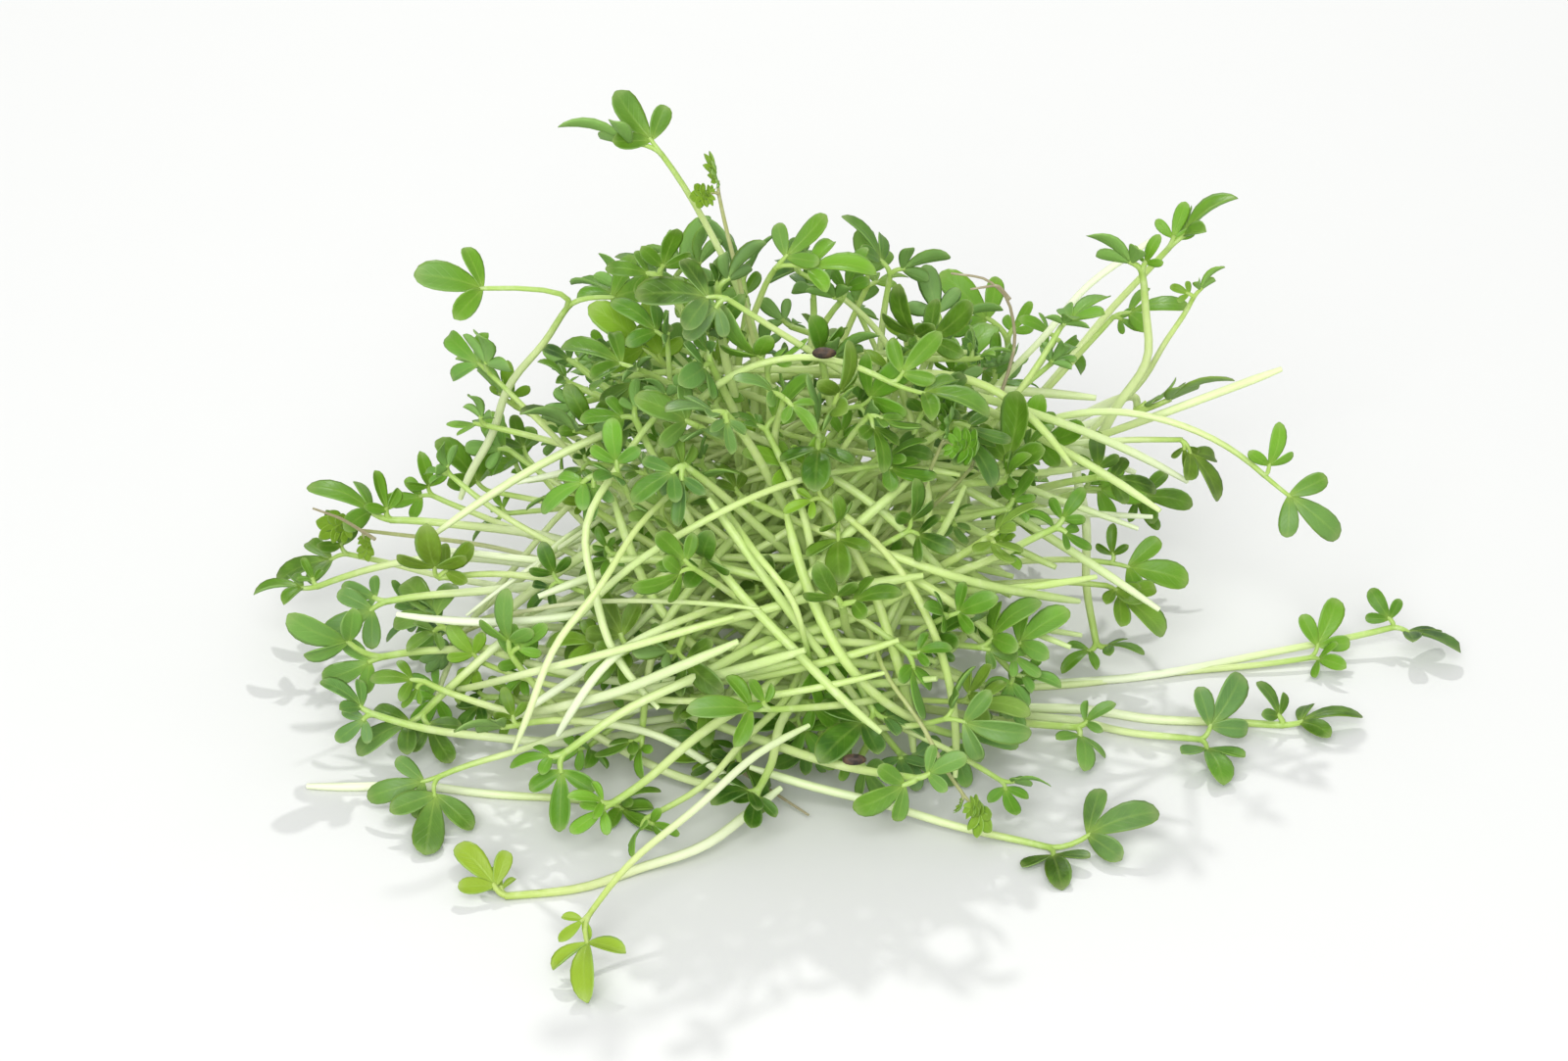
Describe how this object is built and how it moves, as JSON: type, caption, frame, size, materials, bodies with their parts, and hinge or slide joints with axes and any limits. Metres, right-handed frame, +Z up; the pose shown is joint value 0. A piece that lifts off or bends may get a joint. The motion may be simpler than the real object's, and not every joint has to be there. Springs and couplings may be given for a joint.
{
  "type": "heap of cut garden cress",
  "caption": "Loose heap of cut garden cress: thin pale stems crossing under small three-lobed green seed leaves.",
  "frame": {"origin": "middle of the heap's outline on the surface it lies on", "axes": "+Z up, +X to the right and +Y away from someone who looks at the heap's front"},
  "size_m": [0.1558, 0.1269, 0.0797],
  "materials": {
    "cress_green": "satin, mid to dark green leaves on pale green stems",
    "cress_yellow": "satin, yellow-green leaves on pale green stems",
    "seed_husk": "matte, dark brown"
  },
  "bodies": {
    "root": {"cress_lying_right": "cress_green", "cress_lying_front": "cress_green", "cress_front_lying": "cress_green", "cress_long_front": "cress_yellow", "cress_yellow_front": "cress_yellow", "cress_floor_cut": "cress_green", "cress_peak": "cress_green", "cress_peak_bud": "cress_yellow", "cress_spar_left": "cress_green", "cress_spar_right": "cress_green", "cress_right_tall": "cress_green", "cress_right_tip": "cress_green", "cress_across_top": "cress_green", "cress_top_left": "cress_green", "cress_top_right": "cress_green", "cress_top_front": "cress_green", "cress_front_grey": "cress_green", "cress_crown_left": "cress_green", "cress_front_top": "cress_green", "cress_side_dark": "cress_green", "cress_side_up": "cress_green", "cress_right_leafy": "cress_green", "cress_back_curl": "cress_green", "cress_right_cut": "cress_green", "cress_back_cut": "cress_green", "cress_right_fan": "cress_green", "cress_right_far": "cress_green", "cress_right_pair": "cress_green", "cress_right_down": "cress_green", "cress_right_low": "cress_green", "cress_front_right": "cress_green", "cress_front_crumple": "cress_green", "cress_front_bud": "cress_yellow", "cress_front_rolled": "cress_green", "cress_front_left": "cress_green", "cress_white_cut": "cress_green", "cress_left_front": "cress_green", "cress_left_curl": "cress_green", "cress_far_left": "cress_green", "cress_left_middle": "cress_green", "cress_left_top": "cress_green", "cress_left_bud": "cress_yellow", "cress_left_high": "cress_green", "cress_left_wide": "cress_green", "cress_left_upright": "cress_green", "cress_back_left": "cress_green", "cress_upper_left": "cress_green", "cress_upper_curl": "cress_green", "cress_face_dark": "cress_green", "cress_face_centre": "cress_green", "cress_face_low": "cress_green", "cress_back_1": "cress_green", "cress_back_2": "cress_green", "cress_back_3": "cress_green", "cress_back_4": "cress_green", "cress_back_5": "cress_green", "seed_husk_1": "seed_husk", "seed_husk_2": "seed_husk"}
  },
  "joints": []
}
